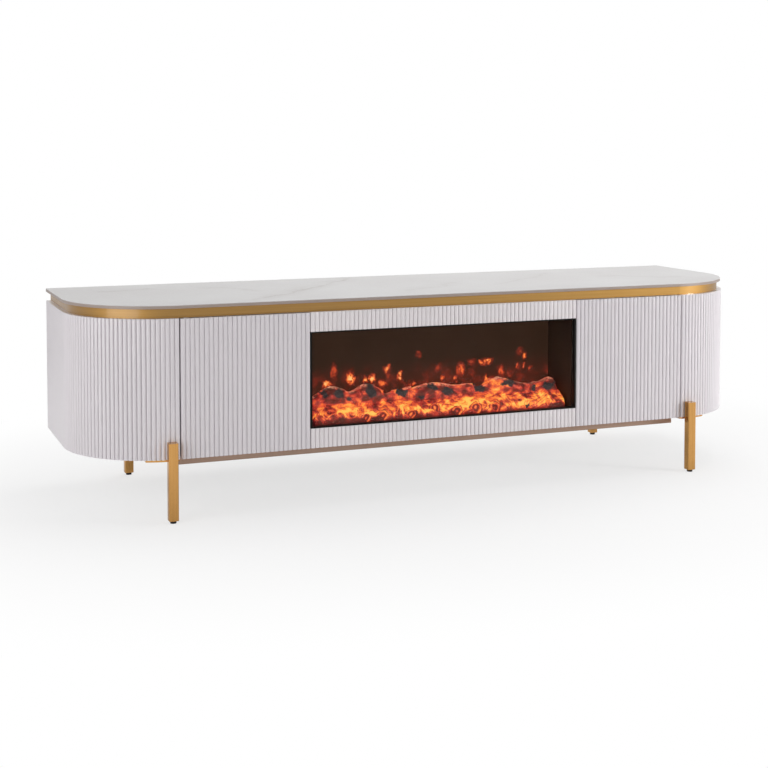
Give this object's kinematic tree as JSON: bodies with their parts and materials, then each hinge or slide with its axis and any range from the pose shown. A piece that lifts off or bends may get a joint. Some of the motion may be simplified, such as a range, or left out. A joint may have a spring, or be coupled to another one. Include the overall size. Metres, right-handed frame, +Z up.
{
  "type": "fireplace tv stand",
  "caption": "Low media cabinet with a reeded white body, rounded ends, a pale slab on a gold band, an electric fire behind glass, side doors and square gold legs.",
  "frame": {"origin": "on the floor under the middle of the cabinet", "axes": "+X along the length to the right seen from the front, +Y from the front to the back, +Z up"},
  "size_m": [2, 0.59, 0.552],
  "materials": {
    "white_lacquer": "semi-gloss white lacquer on reeded board",
    "white_board": "matt white board",
    "back_board": "matt white thin board",
    "pale_stone": "satin pale veined slab",
    "brushed_gold": "brushed gold plating",
    "rose_gold": "dull rose-gold plating",
    "black_foot": "matt black",
    "black_plastic": "matt black",
    "white_metal": "white enamel on steel",
    "zinc_screw": "zinc plated",
    "nylon": "natural nylon",
    "grey_plastic": "grey moulding",
    "soft_bumper": "clear soft pad",
    "black_metal": "satin black enamel on sheet steel",
    "clear_glass": "clear toughened glass",
    "smoked_screen": "dark smoked diffusing sheet",
    "ember_resin": "glowing translucent resin",
    "bright_metal": "bright reflector sheet",
    "motor_metal": "plated steel can",
    "circuit_board": "circuit board"
  },
  "bodies": {
    "cabinet": {"left_end_panel": "white_lacquer", "right_end_panel": "white_lacquer", "upper_fascia": "white_lacquer", "lower_fascia": "white_lacquer", "sub_top": "white_board", "carcass_top": "white_board", "carcass_bottom": "white_board", "left_inner_partition": "white_board", "right_inner_partition": "white_board", "left_outer_partition": "white_board", "right_outer_partition": "white_board", "left_shelf": "white_board", "right_shelf": "white_board", "left_back_panel": "back_board", "centre_back_panel": "back_board", "right_back_panel": "back_board", "top_slab": "pale_stone", "gold_band": "brushed_gold", "front_left_leg": "brushed_gold", "front_right_leg": "brushed_gold", "rear_left_leg": "brushed_gold", "rear_right_leg": "brushed_gold", "front_base_rail": "rose_gold", "rear_base_rail": "rose_gold", "leg_plugs": "black_plastic", "cable_grommets": "black_plastic", "mains_inlet": "black_plastic", "left_door_pivots": "white_metal", "right_door_pivots": "white_metal", "pivot_screws": "zinc_screw", "leg_screws": "zinc_screw", "shelf_pins": "zinc_screw", "left_latch_case": "grey_plastic", "right_latch_case": "grey_plastic", "door_bumpers": "soft_bumper", "fire_frame": "black_metal", "firebox": "black_metal", "control_box": "black_metal", "fire_glass": "clear_glass", "flame_screen": "smoked_screen", "ember_bed": "ember_resin", "left_log": "ember_resin", "middle_log": "ember_resin", "right_log": "ember_resin", "flicker_motor": "motor_metal", "lamp_strips": "circuit_board", "control_board": "circuit_board"},
    "left_door": {"left_door": "white_lacquer", "left_door_bushes": "nylon", "left_door_strike": "zinc_screw"},
    "right_door": {"right_door": "white_lacquer", "right_door_bushes": "nylon", "right_door_strike": "zinc_screw"},
    "left_plunger": {"left_latch_plunger": "grey_plastic"},
    "right_plunger": {"right_latch_plunger": "grey_plastic"},
    "front_left_foot": {"front_left_foot": "black_foot"},
    "front_right_foot": {"front_right_foot": "black_foot"},
    "rear_left_foot": {"rear_left_foot": "black_foot"},
    "rear_right_foot": {"rear_right_foot": "black_foot"},
    "spindle": {"flicker_spindle": "bright_metal"}
  },
  "joints": [
    {"name": "left_door_swing", "type": "hinge", "parent": "cabinet", "child": "left_door", "pos_m": [-0.7265, -0.2575, 0.338], "axis": [0, 0, -1], "range_deg": [0, 95]},
    {"name": "left_latch_press", "type": "slide", "parent": "cabinet", "child": "left_plunger", "axis": [0, 1, 0], "range_m": [0, 0.003], "stiffness_N_per_m": 400},
    {"name": "right_door_swing", "type": "hinge", "parent": "cabinet", "child": "right_door", "pos_m": [0.7265, -0.2575, 0.338], "axis": [0, 0, 1], "range_deg": [0, 95]},
    {"name": "right_latch_press", "type": "slide", "parent": "cabinet", "child": "right_plunger", "axis": [0, 1, 0], "range_m": [0, 0.003], "stiffness_N_per_m": 400},
    {"name": "front_left_foot_turn", "type": "hinge", "parent": "cabinet", "child": "front_left_foot", "pos_m": [-0.768, -0.2825, 0.01], "axis": [0, 0, 1], "continuous": true},
    {"name": "front_right_foot_turn", "type": "hinge", "parent": "cabinet", "child": "front_right_foot", "pos_m": [0.768, -0.2825, 0.01], "axis": [0, 0, 1], "continuous": true},
    {"name": "rear_left_foot_turn", "type": "hinge", "parent": "cabinet", "child": "rear_left_foot", "pos_m": [-0.768, 0.2825, 0.01], "axis": [0, 0, 1], "continuous": true},
    {"name": "rear_right_foot_turn", "type": "hinge", "parent": "cabinet", "child": "rear_right_foot", "pos_m": [0.768, 0.2825, 0.01], "axis": [0, 0, 1], "continuous": true},
    {"name": "spindle_turn", "type": "hinge", "parent": "cabinet", "child": "spindle", "pos_m": [0, -0.0835, 0.2175], "axis": [1, 0, 0], "continuous": true}
  ]
}
